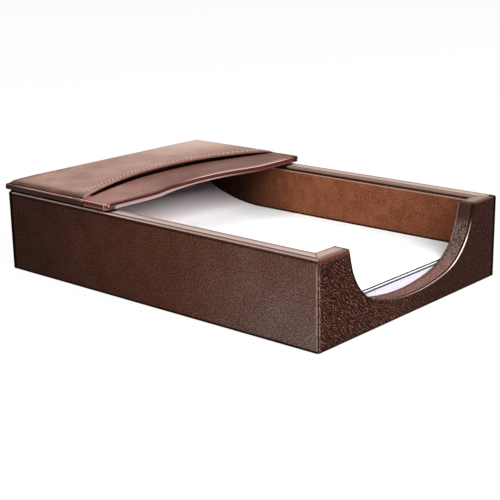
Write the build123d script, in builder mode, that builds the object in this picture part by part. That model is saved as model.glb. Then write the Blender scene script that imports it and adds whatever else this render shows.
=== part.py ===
"""Memo pad holder: a leather covered tray with a scooped front, a padded cover over the
rear of its well, and the loose note sheets that lie in it.

Millimetres.  +Z is up and the front faces -Y.  The origin is the middle of the tray's
footprint, on the surface that it rests on.
"""
import os
from math import asin, cos, degrees, radians, sin, sqrt, tan

from build123d import *

os.makedirs("parts", exist_ok=True)

# ---------------------------------------------------------------- driving dimensions

# The loose note sheets, and how much wider and longer than a sheet the well is.
sheet_width = 101.6
sheet_length = 152.4
well_side_play = 4.4
well_end_play = 4.1

# The tray, measured over its leather.
tray_height = 35.0
corner_radius = 1.5
rim_radius = 0.8

# The layers of a wall, from the outside to the inside.
leather_thickness = 1.2
board_thickness = 5.0
lining_thickness = 1.3
# The wall's leather folds over the board and comes down inside it as far as the lining.
turn_in_thickness = 1.0
turn_in_depth = 2.0

# The bottom, from the table up.
felt_thickness = 0.6
felt_inset = 2.0
base_board_thickness = 4.0
floor_lining_thickness = 0.8

# The scoop in the front wall: two leaning sides, a shallow bottom and round corners.
scoop_width = 84.6
scoop_bottom_height = 7.9
scoop_lean = 14.9
scoop_bottom_radius = 97.0
scoop_corner_radius = 25.0
scoop_band_thickness = 1.0
scoop_rim_radius = 0.45

# The cover over the rear of the well.
cover_setback = 107.0
cover_overhang = 0.8
cover_corner_radius = 1.2
cover_seat_thickness = 1.0
cover_seat_inset = 3.0
cover_seat_setback = 9.0
cover_board_thickness = 1.2
cover_lower_leather_thickness = 0.7
cover_edge_radius = 0.5
finger_recess_width = 62.0
finger_recess_depth = 5.6
finger_recess_blend_radius = 40.0

# The padded upper leather of the cover.  Its front edge is an arc in plan and stands open
# as a shallow pocket; its other edges fold down over the sides and the rear.
fold_thickness = 0.6
fold_foot = 0.3
pocket_side_setback = 14.1
pocket_arc_rise = 12.3
crown_height = 2.9
crown_arc_rise = 1.3
shoulder_width = 8.0
shoulder_radius = 36.0
rear_rounding_length = 11.0
rear_rounding_lift = 0.3
top_leather_thickness = 1.1
pad_inset = 4.0
pad_setback = 6.0
pad_clearance = 0.1

# The stitches along the pocket's edge.
stitch_pitch = 2.65
stitch_length = 1.9
stitch_row_setback = 2.4
thread_diameter = 0.6
stitch_clearance = 0.02

# The sheets have slid into the front right corner of the well and curl up at the rear.
sheet_side_clearance = 0.5
sheet_front_clearance = 0.4
stack_clearance = 0.2
lower_stack_height = 5.9
upper_sheets_height = 1.4
top_sheet_height = 0.2
flat_sheet_length = 115.1
curl_radius = 80.0

# ---------------------------------------------------------------- derived dimensions

board_outside = leather_thickness
board_inside = board_outside + board_thickness
turn_in_face = board_inside + turn_in_thickness
wall_thickness = board_inside + lining_thickness

tray_width = sheet_width + well_side_play + 2 * wall_thickness
tray_length = sheet_length + well_end_play + 2 * wall_thickness
half_width = tray_width / 2
half_length = tray_length / 2
front_face = -half_length
rear_face = half_length

wall_foot = felt_thickness
board_top = tray_height - leather_thickness
lining_top = tray_height - turn_in_depth
base_board_top = wall_foot + base_board_thickness
floor_top = base_board_top + floor_lining_thickness

cover_bottom = tray_height + cover_seat_thickness
cover_board_bottom = cover_bottom + cover_lower_leather_thickness
cover_board_top = cover_board_bottom + cover_board_thickness
cover_strip_top = cover_board_top + cover_lower_leather_thickness
cover_front = front_face + cover_setback
cover_rear = rear_face + cover_overhang
cover_half_width = half_width + cover_overhang

crown_top = cover_strip_top + crown_height
shoulder_start = cover_half_width - shoulder_width
crown_arc_radius = (shoulder_start**2 + crown_arc_rise**2) / (2 * crown_arc_rise)
pocket_side = cover_front + pocket_side_setback
pocket_middle = pocket_side + pocket_arc_rise
pocket_arc_radius = (cover_half_width**2 + pocket_arc_rise**2) / (2 * pocket_arc_rise)

stack_bottom = floor_top + stack_clearance
curl_bottom = stack_bottom + lower_stack_height
top_sheet_bottom = curl_bottom + upper_sheets_height
sheet_left = half_width - wall_thickness - sheet_side_clearance - sheet_width
sheet_front = front_face + wall_thickness + sheet_front_clearance


def cover_top_height(x):
    """Height of the padded cover's upper face at a distance x from its middle line."""
    arc_centre = crown_top - crown_arc_radius
    if abs(x) <= shoulder_start:
        return arc_centre + sqrt(crown_arc_radius**2 - x**2)
    turn = asin(shoulder_start / crown_arc_radius)
    shoulder_x = (crown_arc_radius - shoulder_radius) * sin(turn)
    shoulder_z = arc_centre + (crown_arc_radius - shoulder_radius) * cos(turn)
    return shoulder_z + sqrt(shoulder_radius**2 - (abs(x) - shoulder_x) ** 2)


cover_side_top = cover_top_height(cover_half_width)


# ---------------------------------------------------------------- shared outlines


def scoop_outline(growth):
    """The scoop's opening on the tray's front plane, grown outwards by a band's thickness."""
    above = tray_height
    top_half = scoop_width / 2 + above * tan(radians(scoop_lean))
    low_half = scoop_width / 2 - tray_height * tan(radians(scoop_lean))
    with BuildSketch(Plane.XZ) as opening:
        with BuildLine():
            Polyline(
                (-top_half, tray_height + above),
                (-low_half, 0),
                (low_half, 0),
                (top_half, tray_height + above),
                close=True,
            )
        make_face()
        with Locations((0, scoop_bottom_height + scoop_bottom_radius)):
            Circle(scoop_bottom_radius, mode=Mode.INTERSECT)
        fillet(opening.vertices().group_by(Axis.Y)[0], scoop_corner_radius)
        if growth > 0:
            offset(amount=growth)
    return opening.sketch


def cover_outline(inset):
    """The cover in plan, with the finger recess in its front edge, drawn in by an inset."""
    length = cover_rear - cover_front
    recess_radius = ((finger_recess_width / 2) ** 2 + finger_recess_depth**2) / (
        2 * finger_recess_depth
    )
    recess_centre = cover_front + finger_recess_depth - recess_radius
    with BuildSketch(Plane.XY) as outline:
        with Locations((0, (cover_front + cover_rear) / 2)):
            Rectangle(2 * cover_half_width, length)
        fillet(outline.vertices(), cover_corner_radius)
        with Locations((0, recess_centre)):
            Circle(recess_radius, mode=Mode.SUBTRACT)
        recess_ends = outline.vertices().filter_by(
            lambda v: abs(abs(v.X) - finger_recess_width / 2) < 0.01
        )
        fillet(recess_ends, finger_recess_blend_radius)
        if inset > 0:
            offset(amount=-inset)
    return outline.sketch


def behind_pocket_arc(setback, side, rear):
    """Plan of the cover behind the pocket's arc, moved back, between its sides and rear."""
    with BuildSketch(Plane.XY) as region:
        with Locations((0, (pocket_side + setback + rear) / 2)):
            Rectangle(2 * side, rear - pocket_side - setback)
        with Locations((0, pocket_middle + setback - pocket_arc_radius)):
            Circle(pocket_arc_radius, mode=Mode.SUBTRACT)
    return region.sketch


def crown_section(drop):
    """Section across the padded cover, lowered by a drop, from its sides to its crown."""
    shoulder_top = cover_top_height(shoulder_start) - drop
    middle_of_shoulder = shoulder_start + shoulder_width / 2
    with BuildSketch(Plane.XZ) as section:
        with BuildLine():
            Line((-cover_half_width, cover_bottom), (cover_half_width, cover_bottom))
            Line((cover_half_width, cover_bottom), (cover_half_width, cover_side_top - drop))
            ThreePointArc(
                (cover_half_width, cover_side_top - drop),
                (middle_of_shoulder, cover_top_height(middle_of_shoulder) - drop),
                (shoulder_start, shoulder_top),
            )
            ThreePointArc(
                (shoulder_start, shoulder_top),
                (0, crown_top - drop),
                (-shoulder_start, shoulder_top),
            )
            ThreePointArc(
                (-shoulder_start, shoulder_top),
                (-middle_of_shoulder, cover_top_height(middle_of_shoulder) - drop),
                (-cover_half_width, cover_side_top - drop),
            )
            Line((-cover_half_width, cover_side_top - drop), (-cover_half_width, cover_bottom))
        make_face()
    return section.sketch


def rear_section(drop):
    """Section along the padded cover, lowered by a drop, which rounds down at the rear."""
    level = crown_top + rear_rounding_lift - drop
    edge = cover_side_top - drop
    start = cover_rear - rear_rounding_length
    with BuildSketch(Plane.YZ) as section:
        with BuildLine():
            Line((cover_front, cover_bottom), (cover_rear, cover_bottom))
            Line((cover_rear, cover_bottom), (cover_rear, edge))
            TangentArc((start, level), (cover_rear, edge), tangent=(1, 0))
            Line((start, level), (cover_front, level))
            Line((cover_front, level), (cover_front, cover_bottom))
        make_face()
    return section.sketch


def sheet_section(bottom, thickness):
    """Section along a group of sheets: flat at the front and curled up at the rear."""
    curl_start = sheet_front + flat_sheet_length
    curl = degrees((sheet_length - flat_sheet_length) / curl_radius)
    inner_radius = curl_radius - thickness - (bottom - curl_bottom)
    outer_radius = curl_radius - (bottom - curl_bottom)
    centre = (curl_start, curl_bottom + curl_radius)
    with BuildSketch(Plane.YZ) as section:
        with BuildLine():
            lower_flat = Line((sheet_front, bottom), (curl_start, bottom))
            lower_curl = CenterArc(centre, outer_radius, -90, curl)
            upper_curl = CenterArc(centre, inner_radius, -90, curl)
            upper_flat = Line((sheet_front, bottom + thickness), (curl_start, bottom + thickness))
            Line(lower_flat @ 0, upper_flat @ 0)
            Line(lower_curl @ 1, upper_curl @ 1)
        make_face()
    return section.sketch


# ---------------------------------------------------------------- bottom

with BuildPart() as base_felt:
    with BuildSketch(Plane.XY):
        Rectangle(tray_width - 2 * felt_inset, tray_length - 2 * felt_inset)
    extrude(amount=felt_thickness)
base_felt.part.label = "base_felt"
export_step(base_felt.part, "parts/base_felt.step")

with BuildPart() as base_board:
    with BuildSketch(Plane.XY.offset(wall_foot)):
        Rectangle(tray_width - 2 * board_inside, tray_length - 2 * board_inside)
    extrude(amount=base_board_thickness)
base_board.part.label = "base_board"
export_step(base_board.part, "parts/base_board.step")

with BuildPart() as floor_lining:
    with BuildSketch(Plane.XY.offset(base_board_top)):
        Rectangle(tray_width - 2 * board_inside, tray_length - 2 * board_inside)
    extrude(amount=floor_lining_thickness)
floor_lining.part.label = "floor_lining"
export_step(floor_lining.part, "parts/floor_lining.step")

# ---------------------------------------------------------------- wall boards

side_board_length = tray_length - 2 * board_outside
board_height = board_top - wall_foot
board_middle = board_outside + board_thickness / 2

for side, direction in (("left", -1), ("right", 1)):
    with BuildPart() as side_board:
        with BuildSketch(Plane.XY.offset(wall_foot)):
            with Locations((direction * (half_width - board_middle), 0)):
                Rectangle(board_thickness, side_board_length)
        extrude(amount=board_height)
    side_board.part.label = f"{side}_wall_board"
    export_step(side_board.part, f"parts/{side}_wall_board.step")

end_board_length = tray_width - 2 * board_inside

with BuildPart() as rear_wall_board:
    with BuildSketch(Plane.XY.offset(wall_foot)):
        with Locations((0, rear_face - board_middle)):
            Rectangle(end_board_length, board_thickness)
    extrude(amount=board_height)
rear_wall_board.part.label = "rear_wall_board"
export_step(rear_wall_board.part, "parts/rear_wall_board.step")

with BuildPart() as front_wall_board:
    with BuildSketch(Plane.XY.offset(wall_foot)):
        with Locations((0, front_face + board_middle)):
            Rectangle(end_board_length, board_thickness)
    extrude(amount=board_height)
    extrude(scoop_outline(scoop_band_thickness), amount=tray_length, mode=Mode.SUBTRACT)
front_wall_board.part.label = "front_wall_board"
export_step(front_wall_board.part, "parts/front_wall_board.step")

# ---------------------------------------------------------------- wall leather

# One folded skin goes round all four walls.  Each wall takes its share, up to the mitres.
with BuildPart() as leather_ring:
    with BuildSketch(Plane.XY.offset(wall_foot)) as ring_outline:
        Rectangle(tray_width, tray_length)
        fillet(ring_outline.vertices(), corner_radius)
        Rectangle(
            tray_width - 2 * turn_in_face, tray_length - 2 * turn_in_face, mode=Mode.SUBTRACT
        )
    extrude(amount=tray_height - wall_foot)
    fillet(leather_ring.edges().group_by(Axis.Z)[-1], rim_radius)
    with BuildSketch(Plane.XY.offset(wall_foot)):
        Rectangle(tray_width - 2 * board_outside, tray_length - 2 * board_outside)
        Rectangle(
            tray_width - 2 * board_inside, tray_length - 2 * board_inside, mode=Mode.SUBTRACT
        )
    extrude(amount=board_height, mode=Mode.SUBTRACT)
    with BuildSketch(Plane.XY.offset(wall_foot)):
        Rectangle(tray_width - 2 * board_inside, tray_length - 2 * board_inside)
    extrude(amount=lining_top - wall_foot, mode=Mode.SUBTRACT)


def mitred_share(corner_a, corner_b, inward_a, inward_b):
    """A wall's share of the tray's plan: its outer edge and the two mitres inwards."""
    with BuildSketch(Plane.XY) as share:
        with BuildLine():
            Polyline(corner_a, corner_b, inward_b, inward_a, close=True)
        make_face()
    return share.sketch


inner_x = half_width - wall_thickness
inner_y = half_length - wall_thickness
left_share = mitred_share(
    (-half_width, -half_length), (-half_width, half_length), (-inner_x, -inner_y), (-inner_x, inner_y)
)
right_share = mitred_share(
    (half_width, -half_length), (half_width, half_length), (inner_x, -inner_y), (inner_x, inner_y)
)
rear_share = mitred_share(
    (-half_width, half_length), (half_width, half_length), (-inner_x, inner_y), (inner_x, inner_y)
)
front_share = mitred_share(
    (-half_width, -half_length), (half_width, -half_length), (-inner_x, -inner_y), (inner_x, -inner_y)
)

for side, share in (("left", left_share), ("right", right_share), ("rear", rear_share)):
    with BuildPart() as wall_leather:
        add(leather_ring.part)
        extrude(share, amount=tray_height, mode=Mode.INTERSECT)
    wall_leather.part.label = f"{side}_wall_leather"
    export_step(wall_leather.part, f"parts/{side}_wall_leather.step")

with BuildPart() as scoop_edge_band:
    extrude(scoop_outline(scoop_band_thickness), amount=tray_length)
    extrude(scoop_outline(0), amount=tray_length, mode=Mode.SUBTRACT)
    with BuildSketch(Plane.XY):
        with Locations((0, front_face + (board_outside + wall_thickness) / 2)):
            Rectangle(tray_width, wall_thickness - board_outside)
    extrude(amount=board_top, mode=Mode.INTERSECT)
scoop_edge_band.part.label = "scoop_edge_band"
export_step(scoop_edge_band.part, "parts/scoop_edge_band.step")

with BuildPart() as front_wall_leather:
    add(leather_ring.part)
    extrude(front_share, amount=tray_height, mode=Mode.INTERSECT)
    extrude(scoop_outline(0), amount=tray_length, mode=Mode.SUBTRACT)
    scoop_rim = (
        front_wall_leather.faces()
        .sort_by(Axis.Y)[0]
        .edges()
        .filter_by(lambda e: abs(e.center().X) < half_width - wall_thickness)
        .filter_by(lambda e: e.center().Z > scoop_bottom_height - scoop_rim_radius)
        .filter_by(lambda e: e.center().Z < board_top - scoop_rim_radius)
    )
    fillet(scoop_rim, scoop_rim_radius)
    add(scoop_edge_band.part, mode=Mode.SUBTRACT)
front_wall_leather.part.label = "front_wall_leather"
export_step(front_wall_leather.part, "parts/front_wall_leather.step")


# ---------------------------------------------------------------- wall linings

lining_height = lining_top - floor_top
lining_middle = board_inside + lining_thickness / 2

for side, direction in (("left", -1), ("right", 1)):
    with BuildPart() as side_lining:
        with BuildSketch(Plane.XY.offset(floor_top)):
            with Locations((direction * (half_width - lining_middle), 0)):
                Rectangle(lining_thickness, tray_length - 2 * board_inside)
        extrude(amount=lining_height)
    side_lining.part.label = f"{side}_wall_lining"
    export_step(side_lining.part, f"parts/{side}_wall_lining.step")

with BuildPart() as rear_wall_lining:
    with BuildSketch(Plane.XY.offset(floor_top)):
        with Locations((0, rear_face - lining_middle)):
            Rectangle(tray_width - 2 * wall_thickness, lining_thickness)
    extrude(amount=lining_height)
rear_wall_lining.part.label = "rear_wall_lining"
export_step(rear_wall_lining.part, "parts/rear_wall_lining.step")

with BuildPart() as front_wall_lining:
    with BuildSketch(Plane.XY.offset(floor_top)):
        with Locations((0, front_face + lining_middle)):
            Rectangle(tray_width - 2 * wall_thickness, lining_thickness)
    extrude(amount=lining_height)
    extrude(scoop_outline(scoop_band_thickness), amount=tray_length, mode=Mode.SUBTRACT)
front_wall_lining.part.label = "front_wall_lining"
export_step(front_wall_lining.part, "parts/front_wall_lining.step")

# ---------------------------------------------------------------- cover

seat_half_width = half_width - cover_seat_inset
seat_front = cover_front + cover_seat_setback
seat_rear = rear_face - cover_seat_inset

with BuildPart() as cover_seat:
    with BuildSketch(Plane.XY.offset(tray_height)):
        with Locations((0, (seat_front + seat_rear) / 2)):
            Rectangle(2 * seat_half_width, seat_rear - seat_front)
    extrude(amount=cover_seat_thickness)
cover_seat.part.label = "cover_seat"
export_step(cover_seat.part, "parts/cover_seat.step")

with BuildPart() as cover_board:
    board_plan = cover_outline(fold_thickness + cover_lower_leather_thickness)
    extrude(board_plan.moved(Location((0, 0, cover_board_bottom))), amount=cover_board_thickness)
cover_board.part.label = "cover_board"
export_step(cover_board.part, "parts/cover_board.step")

with BuildPart() as cover_lower_leather:
    strip_plan = cover_outline(fold_thickness)
    extrude(strip_plan.moved(Location((0, 0, cover_bottom))), amount=cover_strip_top - cover_bottom)
    fillet(cover_lower_leather.edges().group_by(Axis.Z)[-1], cover_edge_radius)
    fillet(cover_lower_leather.edges().group_by(Axis.Z)[0], cover_edge_radius)
    add(cover_board.part, mode=Mode.SUBTRACT)
cover_lower_leather.part.label = "cover_lower_leather"
export_step(cover_lower_leather.part, "parts/cover_lower_leather.step")

with BuildPart() as cover_pad:
    pad_side = cover_half_width - pad_inset
    pad_plan = behind_pocket_arc(pad_setback, pad_side, cover_rear - pad_inset)
    extrude(pad_plan.moved(Location((0, 0, cover_strip_top))), amount=crown_height)
    drop = top_leather_thickness + pad_clearance
    extrude(crown_section(drop), amount=tray_length, both=True, mode=Mode.INTERSECT)
    extrude(rear_section(drop), amount=tray_width, both=True, mode=Mode.INTERSECT)
cover_pad.part.label = "cover_pad"
export_step(cover_pad.part, "parts/cover_pad.step")

# The room under the upper leather: the pad's, and in front of it the open pocket's.
with BuildPart() as pocket_room:
    room_plan = behind_pocket_arc(-pad_setback, cover_half_width - pad_inset, cover_rear - pad_inset)
    extrude(room_plan.moved(Location((0, 0, cover_strip_top))), amount=crown_height)
    extrude(crown_section(top_leather_thickness), amount=tray_length, both=True, mode=Mode.INTERSECT)
    extrude(rear_section(top_leather_thickness), amount=tray_width, both=True, mode=Mode.INTERSECT)

with BuildPart() as cover_top_leather:
    fold_plane = Location((0, 0, cover_bottom + fold_foot))
    shell_plan = behind_pocket_arc(0, cover_half_width, cover_rear)
    extrude(shell_plan.moved(fold_plane), amount=crown_top - cover_bottom - fold_foot)
    extrude(crown_section(0), amount=tray_length, both=True, mode=Mode.INTERSECT)
    extrude(rear_section(0), amount=tray_width, both=True, mode=Mode.INTERSECT)
    # Room for the covered board that the fold goes round.
    extrude(
        cover_outline(fold_thickness).moved(fold_plane),
        amount=cover_strip_top - cover_bottom - fold_foot,
        mode=Mode.SUBTRACT,
    )
    add(pocket_room.part, mode=Mode.SUBTRACT)
cover_top_leather.part.label = "cover_top_leather"
export_step(cover_top_leather.part, "parts/cover_top_leather.step")

# ---------------------------------------------------------------- stitches

stitch_arc_radius = pocket_arc_radius
stitch_arc_centre = pocket_middle + stitch_row_setback - stitch_arc_radius
stitch_half_angle = asin(shoulder_start / stitch_arc_radius)
stitch_count = 2 * int(stitch_half_angle * stitch_arc_radius / stitch_pitch) + 1
thread_radius = thread_diameter / 2

stitch_places = []
for number in range(stitch_count):
    angle = (number - (stitch_count - 1) / 2) * stitch_pitch / stitch_arc_radius
    x = stitch_arc_radius * sin(angle)
    y = stitch_arc_centre + stitch_arc_radius * cos(angle)
    slope = -x / crown_arc_radius
    z = cover_top_height(x) + thread_radius + stitch_clearance
    run = Vector(cos(angle), -sin(angle), slope).normalized()
    stitch_places.append(Plane(origin=(x, y, z), z_dir=run).location)

with BuildPart() as cover_stitching:
    with Locations(*stitch_places):
        Cylinder(thread_radius, stitch_length)
cover_stitching.part.label = "cover_stitching"
export_step(cover_stitching.part, "parts/cover_stitching.step")

# ---------------------------------------------------------------- note sheets

with BuildPart() as lower_note_stack:
    with BuildSketch(Plane.XY.offset(stack_bottom)):
        with Locations((sheet_left, sheet_front)):
            Rectangle(sheet_width, sheet_length, align=(Align.MIN, Align.MIN))
    extrude(amount=lower_stack_height)
lower_note_stack.part.label = "lower_note_stack"
export_step(lower_note_stack.part, "parts/lower_note_stack.step")

with BuildPart() as upper_note_sheets:
    upper_section = sheet_section(curl_bottom, upper_sheets_height)
    extrude(upper_section.moved(Location((sheet_left, 0, 0))), amount=sheet_width)
upper_note_sheets.part.label = "upper_note_sheets"
export_step(upper_note_sheets.part, "parts/upper_note_sheets.step")

with BuildPart() as top_note_sheet:
    top_section = sheet_section(top_sheet_bottom, top_sheet_height)
    extrude(top_section.moved(Location((sheet_left, 0, 0))), amount=sheet_width)
top_note_sheet.part.label = "top_note_sheet"
export_step(top_note_sheet.part, "parts/top_note_sheet.step")
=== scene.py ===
"""Looks of the memo pad holder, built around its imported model.

Metres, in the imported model's frame: +Z is up, the scooped front faces -Y, and the origin is the
middle of the tray's footprint on the surface that it rests on.
"""

import math

import bmesh
import bpy
from mathutils import Matrix, Vector
from mathutils.bvhtree import BVHTree


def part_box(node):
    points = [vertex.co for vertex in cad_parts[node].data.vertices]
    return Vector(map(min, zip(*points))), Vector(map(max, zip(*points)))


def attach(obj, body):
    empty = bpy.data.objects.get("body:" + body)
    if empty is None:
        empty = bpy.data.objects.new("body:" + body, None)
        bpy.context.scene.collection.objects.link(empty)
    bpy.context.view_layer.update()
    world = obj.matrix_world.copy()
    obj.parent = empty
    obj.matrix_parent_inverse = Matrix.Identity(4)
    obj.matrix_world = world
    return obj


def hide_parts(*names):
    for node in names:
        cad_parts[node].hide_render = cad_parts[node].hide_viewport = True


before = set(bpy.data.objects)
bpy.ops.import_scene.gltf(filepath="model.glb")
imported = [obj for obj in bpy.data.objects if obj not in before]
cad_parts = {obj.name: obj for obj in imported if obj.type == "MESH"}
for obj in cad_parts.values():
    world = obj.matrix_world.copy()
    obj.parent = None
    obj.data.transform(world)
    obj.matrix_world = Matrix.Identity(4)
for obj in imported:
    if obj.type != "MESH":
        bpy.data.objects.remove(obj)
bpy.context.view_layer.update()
mm = 0.001

# ---------------------------------------------------------------- sizes read from the frame

leather_low, leather_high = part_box("right_wall_leather")
lining_low, lining_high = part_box("right_wall_lining")
board_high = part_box("right_wall_board")[1]
strip_low, strip_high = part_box("cover_lower_leather")
top_low, top_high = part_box("cover_top_leather")

half_width = leather_high.x
front_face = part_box("front_wall_leather")[0].y
rear_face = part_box("rear_wall_leather")[1].y
rim_top = leather_high.z
wall_foot = leather_low.z
board_top = board_high.z
lining_top = lining_high.z
floor_top = lining_low.z

# Distances in from the tray's outer face.
leather_thickness = half_width - board_high.x
lining_back = half_width - lining_high.x
turn_in_face = half_width - leather_low.x
lining_face = half_width - lining_low.x

# ---------------------------------------------------------------- sizes of the finish

# Every leather edge is rolled, with a line creased into the leather beside it.
rim_roll = 0.8 * mm
crease_setback = 1.35 * mm
crease_width = 0.5 * mm
crease_depth = 0.26 * mm
foot_roll = 0.5 * mm
# The leather's foot comes down past the boards, almost as low as the felt.
foot_turn = 0.45 * mm
corner_roll = 1.3 * mm
seam_depth = 0.35 * mm
seam_angle = 13

# The scoop's outline, as the tray's front plane cuts it.
scoop_width = 84.6 * mm
scoop_bottom_height = 7.9 * mm
scoop_lean = math.radians(14.9)
scoop_bottom_radius = 97 * mm
scoop_corner_radius = 25 * mm
scoop_rim_roll = 0.6 * mm
scoop_band_thickness = 1.0 * mm
post_roll = 0.8 * mm

# The cover's plan, and the recess for a finger in its front edge.
cover_corner = 1.2 * mm
recess_width = 62 * mm
recess_depth = 5.6 * mm
recess_blend = 40 * mm
fold_thickness = top_high.x - strip_high.x
strip_top = strip_high.z

# The padded upper leather.
crown_top = top_high.z
side_height = crown_top - 3.09 * mm
crown_arc_rise = 1.3 * mm
shoulder_width = 8 * mm
shoulder_radius = 36 * mm
rear_rounding_length = 11 * mm
rear_rounding_lift = 0.3 * mm
pocket_arc_rise = 12.3 * mm
pocket_edge_thickness = 1.1 * mm
hem_length = 6 * mm
skin_thickness = 0.45 * mm
stitch_setback = 1.9 * mm
stitch_length = 1.9 * mm
stitches = 41
thread_diameter = 0.7 * mm

# The crown is one even arc out to the shoulders, and the wadding lies this far under its top.
crown_reach = top_high.x - shoulder_width
leather_over_wadding = 0.9 * mm

# The note sheets.
sheets_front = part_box("upper_note_sheets")[0].y
sheet_length = 152.4 * mm
flat_sheet_length = 115.1 * mm
sheet_curl_radius = 80 * mm
upper_sheets = 10
upper_sheet_thickness = 0.09 * mm
top_sheet_thickness = 0.16 * mm

# Points nearer to each other than this are one, and a cutter reaches this far past its work.
merge_distance = 0.002 * mm
overrun = 5 * mm


def arc_radius(half_chord, rise):
    """Radius of an arc from its half chord and its rise."""
    return (half_chord**2 + rise**2) / (2 * rise)


pocket_radius = arc_radius(top_high.x, pocket_arc_rise)


# Up the scoop's right side, from that side into the scoop, and the middle of its bottom arc.
lean = Vector((math.sin(scoop_lean), math.cos(scoop_lean)))
into_scoop = Vector((-lean.y, lean.x))
bottom_centre = Vector((0, scoop_bottom_height + scoop_bottom_radius))


def scoop_corner():
    """Centre of the arc between the scoop's leaning side and its bottom arc: x and height."""
    start = Vector((scoop_width / 2, rim_top)) + into_scoop * scoop_corner_radius - bottom_centre
    reach = scoop_bottom_radius - scoop_corner_radius
    down = -start.dot(lean) - math.sqrt(start.dot(lean) ** 2 - start.length_squared + reach**2)
    return start + lean * down + bottom_centre


# ---------------------------------------------------------------- shader maths


class Value:
    """A number or colour that varies over a surface. Operators on it add the Math nodes."""

    def __init__(self, maker, socket):
        self.maker = maker
        self.socket = socket

    def math(self, operation, *others):
        operands = dict(enumerate((self, *others)))
        return self.maker.add("ShaderNodeMath", operands, operation=operation)

    def __add__(self, other):
        return self.math("ADD", other)

    def __sub__(self, other):
        return self.math("SUBTRACT", other)

    def __rsub__(self, other):
        return self * -1 + other

    def __mul__(self, other):
        return self.math("MULTIPLY", other)

    def __truediv__(self, other):
        return self.math("DIVIDE", other)

    def __abs__(self):
        return self.math("ABSOLUTE")

    __radd__ = __add__
    __rmul__ = __mul__

    def root(self):
        return self.math("SQRT")

    def least(self, other):
        return self.math("MINIMUM", other)

    def most(self, other):
        return self.math("MAXIMUM", other)

    def rise(self, low, high):
        """0 below low and 1 above high, or the other way round where low is the larger."""
        inputs = {"Value": self, "From Min": low, "From Max": high, "To Min": 0.0, "To Max": 1.0}
        return self.maker.add("ShaderNodeMapRange", inputs, interpolation_type="SMOOTHSTEP", clamp=True)

    def band(self, middle, width):
        """1 at the middle, falling to 0 at half a width on either side."""
        return abs(self - middle).rise(width / 2, 0.0)


class NodeTree:
    """Adds nodes to one tree."""

    def __init__(self, tree):
        self.tree = tree

    def add(self, kind, inputs=None, output=0, **settings):
        """A node of a kind, with its settings made first and then its inputs set or linked."""
        made = self.tree.nodes.new(kind)
        for setting, value in settings.items():
            setattr(made, setting, value)
        for name, value in (inputs or {}).items():
            self.feed(made.inputs[name], value)
        return made if output is None else Value(self, made.outputs[output])

    def feed(self, socket, value):
        if isinstance(value, Value):
            self.tree.links.new(value.socket, socket)
        elif socket.type == "RGBA":
            socket.default_value = (*value, 1)
        else:
            socket.default_value = value


class Finish(NodeTree):
    """A material. Its patterns are measured in millimetres on the object's own coordinates."""

    def __init__(self, slot):
        self.slot = slot
        self.material = bpy.data.materials.new(slot + "_finish")
        self.material.use_nodes = True
        super().__init__(self.material.node_tree)
        self.shader = self.tree.nodes["Principled BSDF"]
        place = self.add("ShaderNodeTexCoord", {}, "Object")
        self.place = self.scaled(place, 1 / mm)
        split = self.add("ShaderNodeSeparateXYZ", {"Vector": self.place}, None)
        self.x, self.y, self.z = (Value(self, split.outputs[axis]) for axis in "XYZ")
        facing = self.add("ShaderNodeNewGeometry", {}, "Normal")
        self.up = self.add("ShaderNodeSeparateXYZ", {"Vector": facing}, "Z")

    def scaled(self, vector, scale):
        return self.add("ShaderNodeVectorMath", {0: vector, "Scale": scale}, operation="SCALE")

    def stretched(self, scale):
        """The place in millimetres, stretched along its axes."""
        return self.add("ShaderNodeMapping", {"Vector": self.place, "Scale": scale})

    def noise(self, size, detail=3, roughness=0.55, place=None, output="Fac"):
        """Soft noise whose lumps are about a size across."""
        inputs = {"Vector": place or self.place, "Scale": 1 / size}
        inputs |= {"Detail": detail, "Roughness": roughness}
        return self.add("ShaderNodeTexNoise", inputs, output)

    def warped(self, size, amount):
        """The place, pushed about by noise of a size."""
        shift = self.noise(size, detail=2, output="Color")
        shift = self.add("ShaderNodeVectorMath", {0: shift, 1: (0.5,) * 3}, operation="SUBTRACT")
        inputs = {0: self.place, 1: self.scaled(shift, amount)}
        return self.add("ShaderNodeVectorMath", inputs, operation="ADD")

    def cells(self, size, place):
        """Cells of a size: the distance from their edges, in cell widths."""
        inputs = {"Vector": place, "Scale": 1 / size}
        return self.add("ShaderNodeTexVoronoi", inputs, "Distance", feature="DISTANCE_TO_EDGE")

    def waves(self, inputs):
        """Slanting waves, light and dark in turn."""
        return self.add("ShaderNodeTexWave", inputs, "Fac", bands_direction="DIAGONAL", wave_profile="SIN")

    def mixed(self, factor, first, second):
        """The second colour laid over the first by a factor."""
        inputs = {"Factor": factor, 6: first, 7: second}
        return self.add("ShaderNodeMix", inputs, 2, data_type="RGBA", clamp_factor=True)

    def lay(self, factor, colour):
        """Lays a colour over the finish's own by a factor."""
        self.colour = self.mixed(factor, self.colour, colour)

    def bump(self, height, depth):
        """The normal of a surface whose height is 1 where it stands a depth proud."""
        return self.add("ShaderNodeBump", {"Height": height, "Distance": depth, "Strength": 1.0})

    def set(self, **inputs):
        """Gives the shader its colour, and its other inputs, named with underscores for spaces."""
        for name, value in {"Base_Color": self.colour, **inputs}.items():
            self.feed(self.shader.inputs[name.replace("_", " ")], value)
        return self


# ---------------------------------------------------------------- finishes

# Places and distances in the finishes are in millimetres, and factors run from 0 to 1.

# Light comes off the leather's glaze in the dye's own colour.
glaze_tint = (1.0, 0.45, 0.32)
# Painted sheen for the rims' tops, greyer where it grows dimmer towards their inner edge.
sheen_brown = (0.44, 0.31, 0.262)
sheen_post = (0.29, 0.198, 0.163)
sheen_beige = (0.49, 0.345, 0.302)
sheen_grey = (0.27, 0.21, 0.2)
# A painted highlight for rolled and folded edges.
edge_highlight = (0.56, 0.4, 0.35)
# Painted shade for creases, gaps, holes and the dark sides of rounded edges.
painted_shade_brown = (0.006, 0.002, 0.0015)


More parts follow.
